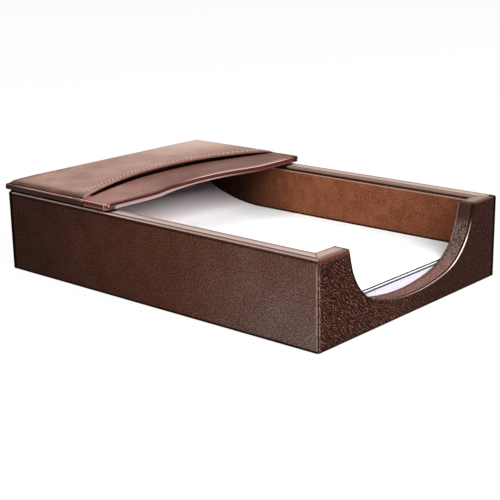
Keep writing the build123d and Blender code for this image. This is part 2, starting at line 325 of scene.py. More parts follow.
def pebbles(finish, size):
    """Height of pebbled leather, and a tone for each pebble."""
    bent = finish.warped(size * 1.7, size * 1.3)
    large = finish.cells(size, bent).rise(0.0, 0.28)
    small = finish.cells(size * 0.5, bent).rise(0.0, 0.35)
    inputs = {"Vector": bent, "Scale": 1 / size}
    tone = finish.add("ShaderNodeTexVoronoi", inputs, "Color")
    tone = finish.add("ShaderNodeSeparateColor", {"Color": tone}, "Red")
    return large * 0.7 + small * 0.3, tone


def wall_edges(finish, roughness, lit_corner, soft_roll):
    """Rims painted light with sheen, with painted highlights on their rolls, painted shade in their creases,
    under their rolls and under the cover, and a seam at the wall's corners.

    soft_roll is 1 where the rim's outer roll is as brown as the wall below it, else 0.
    """
    x, y, z = finish.x, finish.y, finish.z
    side_inward, end_inward = half_width / mm - abs(x), rear_face / mm - abs(y)
    inward = side_inward.least(end_inward)
    rim = z.rise(34.45, 34.75)
    # Painted shade under the smooth walls' rim rolls.
    under_rim = z.band(33.8, 1.4) * (1 - rim) * (0.85 - soft_roll * 0.85)
    finish.lay(under_rim, painted_shade_brown)
    # Near its top the left post's leather is paler and reddish.
    flat_top = z.rise(32.2, 34.3) * x.rise(5, -30) * soft_roll
    finish.lay(flat_top * 0.6, (0.12, 0.042, 0.03))
    roll = inward.rise(0.8, 0.4) * (1 - soft_roll)
    # Under the cover the rims are painted with its shade, all but their outer roll.
    covered = y.rise(20.5, 22.5) * (1 - roll)
    # The rims' tops are painted with sheen, greyer towards their inner edge, paler on the left, and weaker
    # by the front wall's outer edge.
    beige = finish.mixed(inward.rise(2.6, 6.4) * (1 - soft_roll) * 0.85, sheen_beige, sheen_grey)
    right_rim = sheen_post if soft_roll else sheen_brown
    rubbed_and_sheen = finish.mixed(x.rise(20, -20), right_rim, beige)
    brown = inward.rise(2.6, 0.6) * soft_roll
    finish.lay(rim * (0.92 - brown * 0.72), rubbed_and_sheen)
    # The rims' outer rolls are painted with a highlight, brighter towards the rear and on the right wall,
    # whose inner roll faces the light and is painted lighter than the left wall's.
    lit_roll = x.rise(0, 20) * (1 - soft_roll)
    bright = lit_roll.most(y.rise(-25, 30))
    roll_colour = finish.mixed(bright, (0.37, 0.26, 0.225), edge_highlight)
    finish.lay(rim * roll * 0.9, roll_colour)
    # Painted shade in the rims' creases, along their mitres and inner edges, and under the cover.
    inner_crease = (turn_in_face - crease_setback) / mm
    lines = inward.band(crease_setback / mm, 2.9 - lit_roll * 1.6) * (1 - soft_roll * 0.85)
    lines = lines.most(inward.band(inner_crease, 1.1) * (0.7 - lit_roll * 0.4))
    lines = lines.most(inward.band(turn_in_face / mm - 1.1, 2.4) * lit_roll)
    mitre = abs(side_inward - end_inward).rise(0.8, 0.2) * inward.rise(1.2, 2.4)
    lines = lines.most(mitre * y.rise(0, -10) * 0.6)
    inner_edge = inward.rise(turn_in_face / mm - 0.5, turn_in_face / mm - 0.1)
    lines = lines.most(inner_edge * 0.6 * (1 - lit_roll))
    finish.lay((lines * 0.95).most(covered) * rim, (0.014, 0.006, 0.004))
    # A painted highlight on the right wall's inner roll, outside the cover.
    inner_roll = inward.rise(turn_in_face / mm - 0.45, turn_in_face / mm - 0.2) * lit_roll
    inner_roll = inner_roll * z.rise(33.9, 34.15) * (1 - covered)
    finish.lay(inner_roll * 0.85, (0.23, 0.14, 0.12))
    # The posts' tops are painted with shade where they round over into the scoop.
    post_end = abs(x).rise(scoop_width / 2 / mm + 2.4, scoop_width / 2 / mm + 0.9) * soft_roll
    finish.lay(post_end * rim * 0.85, (0.03, 0.012, 0.009))
    # The corner seam is a dark joint, widened with painted shade down the corners that turn from the light;
    # at the front left corner it stays narrow.
    below_rim = z.rise(32.5, 30.5)
    plain = 1 - lit_corner
    along = side_inward.most(end_inward)
    seam = along.rise(0.4 + 2.7 * plain, 0.1 + 2.4 * plain) * below_rim.most(plain)
    finish.lay(seam * 0.97, (0.003, 0.001, 0.0008))
    # Beside the front left corner's seam the leather is rubbed pale, with a painted highlight on the
    # corner's roll.
    chafed = finish.noise(1.6, detail=2).rise(0.35, 0.6) * 0.45 + 0.15
    rubbed_and_sheen = along.band(0.9, 0.7) * below_rim * lit_corner * chafed
    finish.lay(rubbed_and_sheen, (0.3, 0.215, 0.19))
    # Painted shade runs along the foot, where the leather turns under the tray.
    foot = z.rise(1.5, 1.0) * (1 - soft_roll * 0.5)
    finish.lay(foot * 0.95, painted_shade_brown)
    # The spacer that lies on the rims is painted dark with the shade of the gap under the cover.
    finish.lay(z.rise(35.02, 35.08), (0.003, 0.001, 0.0008))
    return finish.set(Roughness=roughness + seam * plain * 0.5)


def make_smooth_leather():
    """The walls' leather: fine grain, brown, painted lighter towards the front, with a grey sheen there, and
    painted darker towards the rear.
    """
    finish = Finish("smooth_leather")
    x, y, z = finish.x, finish.y, finish.z
    grain, tone = pebbles(finish, 0.8)
    clouds = finish.noise(12, detail=4).rise(0.28, 0.74)
    specks = finish.noise(0.55, roughness=0.7).rise(0.4, 0.6)
    # Painted light and shade: lighter towards the front and darker towards the rear.
    towards_front = y.rise(88, -70)
    depth = towards_front * 0.55 + clouds * 0.12 + tone * 0.08 + specks * 0.25
    finish.colour = finish.mixed(depth, (0.007, 0.0016, 0.001), (0.18, 0.064, 0.038))
    finish.lay(y.rise(25, 86) * 0.35, (0.003, 0.0008, 0.0005))
    # A painted grey sheen towards the front, strongest low down.
    low_down = z.rise(36, 4)
    greyed = y.rise(-5, -80) * (low_down * 0.4 + clouds * 0.3 + 0.25)
    finish.lay(greyed, (0.22, 0.15, 0.13))
    pores = (1 - grain) * 0.45 + (1 - specks) * 0.5
    finish.lay(pores, (0.01, 0.003, 0.0015))
    corner = x.rise(0, -10) * y.rise(0, -10)
    roughness = 0.42 + (1 - clouds) * 0.12 + (1 - grain) * 0.12
    return wall_edges(finish, roughness, corner, 0).set(
        Specular_IOR_Level=0.03,
        Specular_Tint=glaze_tint,
        Normal=finish.bump(grain * 0.5 + specks * 0.5, 0.12 * mm),
    )


def make_pebbled_leather():
    """The front's leather: coarse pebbles, flatter and painted darker to the right, and a band in the scoop
    painted paler with sheen.
    """
    finish = Finish("pebbled_leather")
    x, y, z = finish.x, finish.y, finish.z
    grain, pebble_tone = pebbles(finish, 1.1)
    patches = finish.noise(18, detail=4).rise(0.3, 0.7)
    specks = finish.noise(0.5, roughness=0.65).rise(0.42, 0.6)
    flat_and_shaded = x.rise(-45, 20)
    tone = pebble_tone * 0.3 + patches * 0.3 + specks * 0.4
    finish.colour = finish.mixed(tone, (0.014, 0.0034, 0.002), (0.068, 0.0195, 0.012))
    # The pebbles' edges are painted with highlights in short curved strokes.
    inputs = {"Vector": finish.warped(7, 6), "Scale": 0.36, "Distortion": 4.0, "Detail": 2.0}
    waves = finish.waves(inputs | {"Detail Scale": 0.9, "Detail Roughness": 0.7})
    broken = finish.noise(2.2, roughness=0.6).rise(0.32, 0.56)
    strokes = waves.rise(0.6, 0.97) * broken
    band = y.rise(front_face / mm + 1.15, front_face / mm + 1.4)
    lit = strokes * (1 - flat_and_shaded * 0.9 * (1 - band)) * (0.5 + pebble_tone * 0.5)
    # Painted shade to the right.
    finish.lay(flat_and_shaded * 0.8, (0.009, 0.0018, 0.0012))
    # The scoop's band is painted paler with sheen, pinker low down.
    pale = band * z.rise(31, 25)
    pinker = finish.mixed(z.rise(20, 9), (0.27, 0.175, 0.16), (0.33, 0.17, 0.14))
    finish.lay(pale * (tone * 0.4 + 0.5), pinker)
    finish.lay(lit * (1 - band) * 0.9, (0.31, 0.145, 0.094))
    # Half way up the scoop the band's pebbles are dark on a pale ground.
    dark_pebbles = finish.noise(0.8, detail=2).rise(0.56, 0.42) * (0.45 + z.rise(12, 20) * 0.4)
    finish.lay(dark_pebbles * band, (0.03, 0.014, 0.012))
    # Painted shade on the band's upper part.
    finish.lay(band * z.rise(25, 31) * 0.75, (0.06, 0.03, 0.026))
    crevices = (1 - grain) * (1 - flat_and_shaded * 0.75) * (1 - band * 0.4)
    finish.lay(crevices * 0.95, (0.003, 0.001, 0.0007))
    # Along the band's inner edge a painted highlight up high and painted shade low down, and painted shade
    # in its crease.
    inner = (front_face + lining_face) / mm
    edge_line = finish.mixed(z.rise(17, 22), painted_shade_brown, (0.26, 0.17, 0.13))
    finish.lay(y.band(inner - 0.35, 0.9) * 0.8, edge_line)
    finish.lay(y.band(inner - 1.15, 0.7) * band * 0.7, painted_shade_brown)
    # Outside the scoop's rim, whose roll has a painted highlight, runs a line of painted shade.
    centre = scoop_corner() / mm
    over, above = abs(x) - centre.x, z - centre.y
    from_arc = (over * over + above * above).root() - scoop_corner_radius / mm
    beyond = abs(x) - scoop_width / 2 / mm
    from_side = beyond * math.cos(scoop_lean) + (35 - z) * math.sin(scoop_lean)
    straight_from = centre.y - scoop_corner_radius / mm * math.sin(scoop_lean)
    straight = z.rise(straight_from - 0.5, straight_from + 0.5)
    from_scoop = from_arc + (from_side - from_arc) * straight
    outside = from_scoop.band(1.1, 1.5) * y.rise(front_face / mm + 0.5, front_face / mm + 0.2)
    finish.lay(outside * z.rise(10, 13) * 0.9, painted_shade_brown)
    # The painted highlight on the scoop rim's roll, where the mesh marks it.
    rubbed_and_sheen = finish.add("ShaderNodeAttribute", {}, "Fac", attribute_name="rubbed_and_sheen")
    finish.lay(rubbed_and_sheen, (0.8, 0.62, 0.54))
    corner = x.rise(0, -10)
    roughness = 0.42 + (1 - grain) * 0.25
    return wall_edges(finish, roughness, corner, 1).set(
        Specular_IOR_Level=0.03,
        Specular_Tint=glaze_tint,
        Normal=finish.bump(grain * 0.85 * (1 - flat_and_shaded * 0.7) + specks * 0.15, 0.5 * mm),
    )


def make_cover_leather():
    """The cover's leather: glazed and soft, painted lighter with sheen, with painted shade on its sides and
    in the crease beside its edge.
    """
    finish = Finish("cover_leather")
    x, y = finish.x, finish.y
    grain, pebble_tone = pebbles(finish, 0.7)
    patches = finish.noise(30).rise(0.3, 0.7)
    clouds = finish.noise(9).rise(0.3, 0.75)
    fine = finish.noise(0.5, detail=4, roughness=0.65)
    tone = patches * 0.5 + clouds * 0.35 + pebble_tone * 0.15
    from_edge = pocket_arc(finish, 0)[0]
    # The base colours are painted lighter than the dark brown leather with the sheen that the cover's top
    # catches, and paler on the upper leather than on the strip.
    paler = from_edge.rise(-0.5, 1.5)
    deep = finish.mixed(paler, (0.19, 0.086, 0.063), (0.235, 0.119, 0.092))
    light = finish.mixed(paler, (0.33, 0.172, 0.136), (0.4, 0.242, 0.198))
    finish.colour = finish.mixed(tone, deep, light)
    finish.lay((1 - grain) * 0.2 + fine.rise(0.6, 0.35) * 0.25, (0.09, 0.036, 0.026))
    inward = (top_high.x / mm - abs(x)).least(top_high.y / mm - y)
    # Painted shade on the crown's shoulders, and in the crease beside the edge.
    shoulder = inward.rise(7.5, 1.8) * from_edge.rise(0, 2) * (0.65 + clouds * 0.25)
    finish.lay(shoulder, (0.045, 0.0145, 0.0095))
    finish.lay(inward.band(1.25, 1.1) * 0.9, (0.01, 0.0035, 0.0025))
    # A painted highlight on the upper leather's rolled edge.
    on_roll = inward.band(0.5, 1.1) * y.rise(84, 70)
    finish.lay(on_roll * 0.85, (0.5, 0.32, 0.27))
    # The lower leather is painted with shade towards its middle, but not beside the near corner.
    strip_shade = from_edge.rise(0.5, 0) * x.rise(-46, -8)
    finish.lay(strip_shade * 0.58, (0.06, 0.018, 0.013))
    # The upper leather is painted with a paler sheen towards its far corner.
    far_corner = from_edge.rise(2, 8) * x.rise(-10, 50) * y.rise(45, 82)
    finish.lay(far_corner * 0.62, (0.6, 0.44, 0.36))
    return cover_edges(finish, from_edge).set(
        Roughness=0.4 + (1 - clouds) * 0.08 + (1 - grain) * 0.08,
        Specular_IOR_Level=0.1,
        Specular_Tint=glaze_tint,
        Normal=finish.bump(grain * 0.5 + fine * 0.3, 0.03 * mm),
    )


def cover_edges(finish, from_edge):
    """Lays painted shade, highlights and reflection on the cover's sides, front lip, pocket and stitch row
    over its colour.
    """
    x, y, z = finish.x, finish.y, finish.z
    front_half = y.rise(45, 35)
    from_side = top_high.x / mm - abs(x)
    # The sides' painted shade stays off the pocket's own edge, which is as light as the leather above it.
    pocket_roll = abs(from_edge).rise(1.4, 1.0) * from_side.rise(1.5, 3)
    side = finish.up.rise(0.6, 0.3) * (1 - pocket_roll)
    # Painted shade on the sides, darker towards the rear.
    dark_side = finish.mixed(front_half, (0.02, 0.005, 0.003), (0.05, 0.011, 0.008))
    finish.lay(side * 0.95, dark_side)
    # The fold round a front corner is painted with highlights in two lines.
    from_front = y - (strip_low.y - fold_thickness) / mm
    folds = from_front.band(1.4, 1.0).most(from_side.band(1.5, 1.0) * from_front.rise(1.0, 0.5))
    folds = folds * from_side.rise(3, 2) * from_front.rise(3, 2)
    finish.lay(folds * side * 0.7, edge_highlight)
    # A painted highlight on the strip's front roll to the right, and painted shade on its upper edge to the
    # left.
    front_roll = y.rise(29, 27) * z.rise(37.6, 37.9)
    roll_highlight = finish.up.band(0.62, 0.72) * x.rise(-18, 5) * x.rise(58, 48)
    finish.lay(roll_highlight * front_roll * 0.9, edge_highlight)
    dark_edge = finish.up.rise(0.995, 0.95) * x.rise(-10, -22) * from_side.rise(1.5, 3)
    finish.lay(dark_edge * front_roll * 0.95, (0.03, 0.005, 0.0035))
    # The thin lip is painted pale with the reflection of the paper below it, and is wider to the left, where
    # the seam above it runs out; near the left corner it is painted with shade.
    lip = (z - x.rise(-5, -30) * 0.8).rise(36.75, 36.4)
    lip = lip * front_half * from_side.rise(0.8, 1.6)
    near_corner = lip * from_side.rise(6, 4.2) * x.rise(0, -20)
    lip_reflection = finish.mixed(x.rise(-40, -10), (0.31, 0.235, 0.245), (0.32, 0.24, 0.23))
    finish.lay(lip * (1 - x.rise(-5, 40) * 0.97) * 0.9, lip_reflection)
    finish.lay(near_corner * 0.9, (0.02, 0.008, 0.006))
    # Painted shade on the right front corner's nose and on the rear corners' sides.
    nose = x.rise(56.8, 58.8) * from_front.rise(5, 3) * finish.up.rise(0.97, 0.85)
    nose = nose.most(from_side.rise(1.8, 0.8) * y.rise(84.2, 85.4))
    finish.lay(nose * 0.95, painted_shade_brown)
    # Painted shade in the pocket's mouth, under the edge and just in front of it.
    reach = abs(x).rise(12, 42)
    mouth = (from_edge + reach).rise(-0.4, -0.1) * from_edge.rise(4.0, 3.5) * z.rise(38.9, 38.78)
    mouth = mouth.most(pocket_roll * finish.up.rise(0.6, 0.3) * z.rise(39.2, 39.0))
    mouth = mouth * x.rise(-55.2, -53.8) * x.rise(58.5, 56.8)
    finish.lay(mouth, (0.0012, 0.0005, 0.0004))
    # Painted shade in the stitch holes.
    distance, share = pocket_arc(finish, stitch_setback)
    holes = distance.band(0, 1.9) * share.band(0.0, 0.62)
    finish.lay(holes * 0.95, painted_shade_brown)
    return finish


def pocket_arc(finish, setback):
    """Distance from a line behind the pocket's edge, and the share along each of its stitches."""
    x, y = finish.x, finish.y
    radius = pocket_radius / mm
    centre = (top_low.y + pocket_arc_rise + setback) / mm - radius
    back = y - centre
    distance = (x * x + back * back).root() - radius
    reach = crown_reach / mm
    stitch = 2 * radius * math.asin(reach / radius) / (stitches - 1)
    along = finish.add("ShaderNodeMath", {0: x, 1: back}, operation="ARCTAN2") * radius
    # Counted so that the whole numbers fall between the stitches.
    return distance, (along / stitch + stitches + 1).math("FRACT") - 0.5


def make_suede():
    finish = Finish("suede")
    y, z = finish.y, finish.z
    nap = finish.noise(0.9, detail=5, roughness=0.75)
    strokes = finish.noise(3.2, detail=4, place=finish.stretched((1, 1, 0.6))).rise(0.3, 0.72)
    patches = finish.noise(17).rise(0.3, 0.72)
    finish.colour = finish.mixed(strokes * 0.5 + patches * 0.5, (0.145, 0.04, 0.016), (0.245, 0.082, 0.0355))
    finish.lay(nap.rise(0.48, 0.7) * 0.45, (0.38, 0.155, 0.077))
    finish.lay(nap.rise(0.52, 0.32) * 0.6, (0.05, 0.013, 0.005))
    # The suede deep under the cover is painted with its shade.
    finish.lay(y.rise(14, 54) * 0.93, (0.01, 0.0025, 0.0012))
    # Painted shade near the front wall.
    finish.lay(y.rise(-25, -70) * 0.3, (0.05, 0.014, 0.006))
    # Painted shade along the lining's foot, where the sheets meet it.
    finish.lay(z.rise(14.1, 13.4) * 0.95, painted_shade_brown)
    # A painted highlight on the lining's rounded top edge.
    edge = z.rise(32.45, 32.7)
    finish.lay(edge * 0.85, (0.36, 0.23, 0.176))
    return finish.set(
        Roughness=0.92,
        Specular_IOR_Level=0.12,
        Sheen_Weight=0.1,
        Sheen_Roughness=0.5,
        Sheen_Tint=(0.75, 0.4, 0.25),
        Normal=finish.bump(nap, 0.2 * mm),
    )


def make_paper():
    """Note paper: white, and painted lilac with shade where the cut edges of the lower sheets show."""
    finish = Finish("note_paper")
    y, z = finish.y, finish.z
    fibre = finish.noise(0.4, detail=4)
    clouds = finish.noise(14).rise(0.3, 0.7)
    finish.colour = finish.mixed(clouds, (0.87, 0.87, 0.89), (0.92, 0.92, 0.925))
    # The sheets are painted pinker under the cover, with its shade and the reflection of its leather.
    finish.lay(y.rise(30, 65) * 0.9, (0.93, 0.81, 0.83))
    # The cut edges of the lower sheets are painted lilac with shade.
    cut = finish.up.rise(0.5, 0.2)
    finish.lay(cut * z.rise(11.7, 11.5), (0.5, 0.46, 0.55))
    # Painted shade between the sheets' groups, on their cut edges and along the top sheets' front.
    between = z.band(11.45, 1.3).most(z.band(12.72, 1.1)) * 2.0
    at_front = y.rise(sheets_front / mm + 0.8, sheets_front / mm + 0.5) * z.rise(12.95, 12.85)
    finish.lay(cut.most(at_front) * between, (0.02, 0.016, 0.028))
    return finish.set(
        Roughness=0.85,
        Specular_IOR_Level=0.25,
        Normal=finish.bump(fibre, 0.012 * mm),
    )


def make_board():
    finish = Finish("board")
    specks = finish.noise(0.35, detail=5, roughness=0.75).rise(0.35, 0.68)
    bands = finish.noise(3, place=finish.stretched((1, 1, 4))).rise(0.3, 0.7)
    finish.colour = finish.mixed(specks * 0.6 + bands * 0.4, (0.22, 0.13, 0.07), (0.42, 0.29, 0.18))
    return finish.set(
        Roughness=0.8,
        Specular_IOR_Level=0.3,
        Normal=finish.bump(specks, 0.05 * mm),
    )


def make_felt():
    finish = Finish("felt")
    fuzz = finish.noise(0.3, detail=5, roughness=0.75)
    clouds = finish.noise(4).rise(0.3, 0.7)
    tone = fuzz.rise(0.3, 0.7) * 0.7 + clouds * 0.3
    finish.colour = finish.mixed(tone, (0.012, 0.008, 0.006), (0.045, 0.028, 0.022))
    return finish.set(
        Roughness=0.95,
        Specular_IOR_Level=0.15,
        Sheen_Weight=0.3,
        Normal=finish.bump(fuzz, 0.15 * mm),
    )


def make_wadding():
    finish = Finish("wadding")
    fluff = finish.noise(1.2, detail=5, roughness=0.7)
    finish.colour = finish.mixed(fluff.rise(0.3, 0.7), (0.55, 0.54, 0.5), (0.85, 0.84, 0.8))
    return finish.set(
        Roughness=0.95,
        Specular_IOR_Level=0.2,
        Sheen_Weight=0.4,
        Normal=finish.bump(fluff, 0.3 * mm),
    )


def make_thread():
    finish = Finish("thread")
    inputs = {"Vector": finish.place, "Scale": 1.1, "Distortion": 1.5, "Detail": 1.0}
    twist = finish.waves(inputs)
    finish.colour = finish.mixed(twist, (0.22, 0.128, 0.1), (0.42, 0.28, 0.24))
    return finish.set(
        Roughness=0.5,
        Specular_IOR_Level=0.5,
        Normal=finish.bump(twist, 0.05 * mm),
    )


smooth_leather = make_smooth_leather()
pebbled_leather = make_pebbled_leather()
cover_leather = make_cover_leather()
suede = make_suede()
note_paper = make_paper()
fibreboard = make_board()
felt = make_felt()
wadding = make_wadding()
thread = make_thread()

# ---------------------------------------------------------------- mesh tools


def smooth_share(value, low, high):
    """0 at low and 1 at high, evenly eased between them."""
    share = min(1, max(0, (value - low) / (high - low)))
    return share * share * (3 - 2 * share)


def arc(centre, radius, start, end, steps):
    """Points on an arc between two angles in degrees, both ends included."""
    angles = [math.radians(start + (end - start) * step / steps) for step in range(steps + 1)]
    return [(centre[0] + radius * math.cos(a), centre[1] + radius * math.sin(a)) for a in angles]


def crease(middle, surface):
    """Points across a line creased into a level surface."""
    shape = ((-0.5, 0), (-0.22, 0.55), (0, 1), (0.22, 0.55), (0.5, 0))
    return [(middle + across * crease_width, surface - deep * crease_depth) for across, deep in shape]


def join_rows(shell, rows, closed=False):
    """Fills the space from each row of vertices to the next with quads."""
    for first, second in zip(rows, rows[1:]):
        for k in range(len(first) if closed else len(first) - 1):
            after = (k + 1) % len(first)
            shell.faces.new((first[k], first[after], second[after], second[k]))


def lofted(rings):
    """A closed mesh that joins rings of points with quads, with a face over each end."""
    shell = bmesh.new()
    rows = [[shell.verts.new(point) for point in ring] for ring in rings]
    join_rows(shell, rows, closed=True)
    shell.faces.new(rows[0])
    shell.faces.new(list(reversed(rows[-1])))
    return shell


def mesh_of(shell, name):
    mesh = bpy.data.meshes.new(name)
    shell.to_mesh(mesh)
    shell.free()
    return mesh


def cleaned(shell, name):
    """A mesh from a shell whose doubles are merged and whose faces point outwards."""
    bmesh.ops.remove_doubles(shell, verts=shell.verts, dist=merge_distance)
    bmesh.ops.dissolve_degenerate(shell, edges=shell.edges, dist=merge_distance)
    bmesh.ops.recalc_face_normals(shell, faces=shell.faces)
    return mesh_of(shell, name)


def added(name, data):
    """A new object of the scene."""
    made = bpy.data.objects.new(name, data)
    bpy.context.scene.collection.objects.link(made)
    return made


def placed(name, mesh, finish, body, *replaced, sharp=32):
    """A finished piece that rides on its body and stands for the nodes that it replaces."""
    mesh.materials.clear()
    mesh.materials.append(finish.material)
    mesh.shade_smooth()
    mesh.set_sharp_from_angle(angle=math.radians(sharp))
    made = added(name, mesh)
    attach(made, body)
    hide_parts(*replaced)
    return made


def even_shading(made):
    """Large flat faces keep their flat shading beside the rolled edges."""
    weigh = made.modifiers.new("even_shading", "WEIGHTED_NORMAL")
    weigh.keep_sharp = True
    weigh.weight = 100


def evaluated_mesh(made):
    graph = bpy.context.evaluated_depsgraph_get()
    return bpy.data.meshes.new_from_object(made.evaluated_get(graph))


def cut_away(mesh, *rooms):
    """A mesh with the room of each shell cut out of it."""
    for room in rooms:
        body = added("body", mesh)
        cutter = added("cutter", cleaned(room, "cutter"))
        cut = body.modifiers.new("cut", "BOOLEAN")
        cut.operation = "DIFFERENCE"
        cut.solver = "EXACT"
        cut.object = cutter
        mesh = evaluated_mesh(body)
        for tool in (body, cutter):
            bpy.data.objects.remove(tool)
    return mesh


# ---------------------------------------------------------------- walls


def leather_section():
    """Section of a wall's leather, all round: distance in from the outer face, and height."""
    outer = arc((rim_roll, rim_top - rim_roll), rim_roll, 180, 90, 8)
    inner = arc((turn_in_face - rim_roll, rim_top - rim_roll), rim_roll, 90, 0, 8)
    foot = arc((foot_roll, wall_foot - foot_turn + foot_roll), foot_roll, 270, 180, 5)
    inside = [
        (turn_in_face, lining_top),
        (lining_back, lining_top),
        (lining_back, board_top),
        (leather_thickness, board_top),
        (leather_thickness, wall_foot - foot_turn),
    ]
    creases = crease(crease_setback, rim_top) + crease(turn_in_face - crease_setback, rim_top)
    return foot + outer + creases + inner + inside


def lining_section():
    """Section of a wall's lining, all round, with a rounded upper edge."""
    round_edge = 0.45 * mm
    edge = arc((lining_face - round_edge, lining_top - round_edge), round_edge, 90, 0, 6)
    return [(lining_back, floor_top), (lining_back, lining_top)] + edge + [(lining_face, floor_top)]


def along_wall(section, origin, along, inward, length):
    """A wall's section swept along it, rolled and mitred into both of its corners."""
    angles = (45, 43, 40, 36, 32, 26, 18, 9, 0)
    stations = [(angle, False) for angle in angles] + [(angle, True) for angle in reversed(angles)]
    rings = []
    for angle, at_end in stations:
        near_seam = max(0, 1 - (45 - angle) / seam_angle) ** 2
        turn = math.radians(angle)
        ring = []
        for inset, height in section:
            centre = max(inset, corner_roll)
            radius = max(corner_roll - inset, 0)
            if inset < leather_thickness / 2:
                below_rim = min(1, max(0, (rim_top - 0.9 * mm - height) / (1.5 * mm)))
                radius -= seam_depth * near_seam * below_rim
            across = centre - radius * math.cos(turn)
            travel = centre - radius * math.sin(turn)
            if at_end:
                travel = length - travel
            ring.append(origin + along * travel + inward * across + Vector((0, 0, height)))
        rings.append(ring)
    return lofted(rings)


def scoop_edge(growth, from_post_top=False):
    """The scoop's edge from one post to the other, grown outwards into the wall: x and height.

    It starts and ends at the board's top, or at the posts' tops where these are asked for.
    """
    side = Vector((scoop_width / 2, rim_top)) - into_scoop * growth
    corner_centre = scoop_corner()
    from_bottom = corner_centre - bottom_centre
    meet = math.degrees(math.atan2(from_bottom.y, from_bottom.x))
    lean_angle = math.degrees(scoop_lean)
    edge = []
    if from_post_top:
        slide = post_roll * (1 - math.sin(scoop_lean)) / math.cos(scoop_lean)
        roll_centre = (scoop_width / 2 + slide, rim_top - post_roll)
        edge += arc(roll_centre, max(post_roll - growth, 0.05 * mm), 90, 180 - lean_angle, 8)
    top = side + lean * ((board_top - side.y) / lean.y)
    corner = arc(corner_centre, scoop_corner_radius + growth, -lean_angle, meet, 26)
    foot = Vector(corner[0])
    edge += [tuple(top.lerp(foot, share / 4)) for share in range(4)]
    edge += corner + arc(bottom_centre, scoop_bottom_radius + growth, meet, -90, 16)[1:]
    return edge + [(-x, z) for x, z in reversed(edge[:-1])]


def across_wall(depth_growths, from_post_top=False):
    """Rings of the scoop's edge at depths from the front face."""
    rings = []
    for depth, growth in depth_growths:
        edge = scoop_edge(growth, from_post_top)
        if from_post_top:
            edge += [(edge[-1][0], rim_top + overrun), (edge[0][0], rim_top + overrun)]
        rings.append([Vector((x, front_face + depth, z)) for x, z in edge])
    return rings


def scoop_opening():
    """The scoop's room in the front leather, flared by the roll of its outer rim."""
    roll = arc((scoop_rim_roll, scoop_rim_roll), -scoop_rim_roll, 0, 90, 8)
    stations = [(-overrun, scoop_rim_roll)] + roll + [(lining_face + overrun, 0)]
    return lofted(across_wall(stations, from_post_top=True))


def band_room():
    """The room of the scoop's band, and of all that it borders."""
    thickness = scoop_band_thickness
    stations = [(leather_thickness, thickness), (lining_face + overrun, thickness)]
    return lofted(across_wall(stations))


def scoop_band():
    """The leather band round the scoop, from the front leather to the lining."""
    start, end, edge = leather_thickness, lining_face, 0.4 * mm
    section = [(start, scoop_band_thickness), (start, 0.22 * mm), (start + 0.1 * mm, 0.07 * mm)]
    section += [(start + 0.3 * mm, 0)]
    section += [(at, -deep * 0.6) for at, deep in crease(end - 1.15 * mm, 0)]
    section += arc((end - edge, edge), edge, -90, 0, 6) + [(end, scoop_band_thickness)]
    rows = across_wall(section)
    return lofted([[row[k] for row in rows] for k in range(len(rows[0]))])


def build_walls():
    left, right, front, rear = -half_width, half_width, front_face, rear_face
    along_x, along_y = Vector((1, 0, 0)), Vector((0, 1, 0))
    walls = {
        "left": (Vector((left, front, 0)), along_y, along_x, rear - front),
        "right": (Vector((right, front, 0)), along_y, -along_x, rear - front),
        "rear": (Vector((left, rear, 0)), along_x, -along_y, right - left),
        "front": (Vector((left, front, 0)), along_x, along_y, right - left),
    }
    for side, place in walls.items():
        skin = cleaned(along_wall(leather_section(), *place), f"{side}_leather")
        lining = cleaned(along_wall(lining_section(), *place), f"{side}_suede")
        leather = smooth_leather
        if side == "front":
            skin = cut_away(skin, scoop_opening(), band_room())
            lining = cut_away(lining, band_room())
            leather = pebbled_leather
            mark_scoop_roll(skin)
        even_shading(placed(f"{side}_leather", skin, leather, "holder", f"{side}_wall_leather"))
        even_shading(placed(f"{side}_suede", lining, suede, "holder", f"{side}_wall_lining"))


def mark_scoop_roll(mesh):
    """Marks the roll round the scoop's outer rim, where the leather is painted with a highlight."""
    edge = [Vector(point) for point in scoop_edge(0)]
    marks = mesh.attributes.new("rubbed_and_sheen", "FLOAT", "POINT")
    for vert, mark in zip(mesh.vertices, marks.data):
        depth = vert.co.y - front_face
        near = min((Vector((vert.co.x, vert.co.z)) - point).length for point in edge)
        on_roll = 0.08 * mm < depth < 0.45 * mm and near < 1.6 * mm
        height = vert.co.z / mm
        rubbed_and_sheen = 0.3 + 0.7 * smooth_share(height, 10, 13.5) * smooth_share(height, 23.5, 20)
        rubbed_and_sheen *= smooth_share(height, 29, 25) * smooth_share(vert.co.x / mm, -25, 15)
        mark.value = rubbed_and_sheen if on_roll else 0.0


def build_scoop_band():
    mesh = cleaned(scoop_band(), "scoop_edge")
    even_shading(placed("scoop_edge", mesh, pebbled_leather, "holder", "scoop_edge_band"))


# ---------------------------------------------------------------- cover board


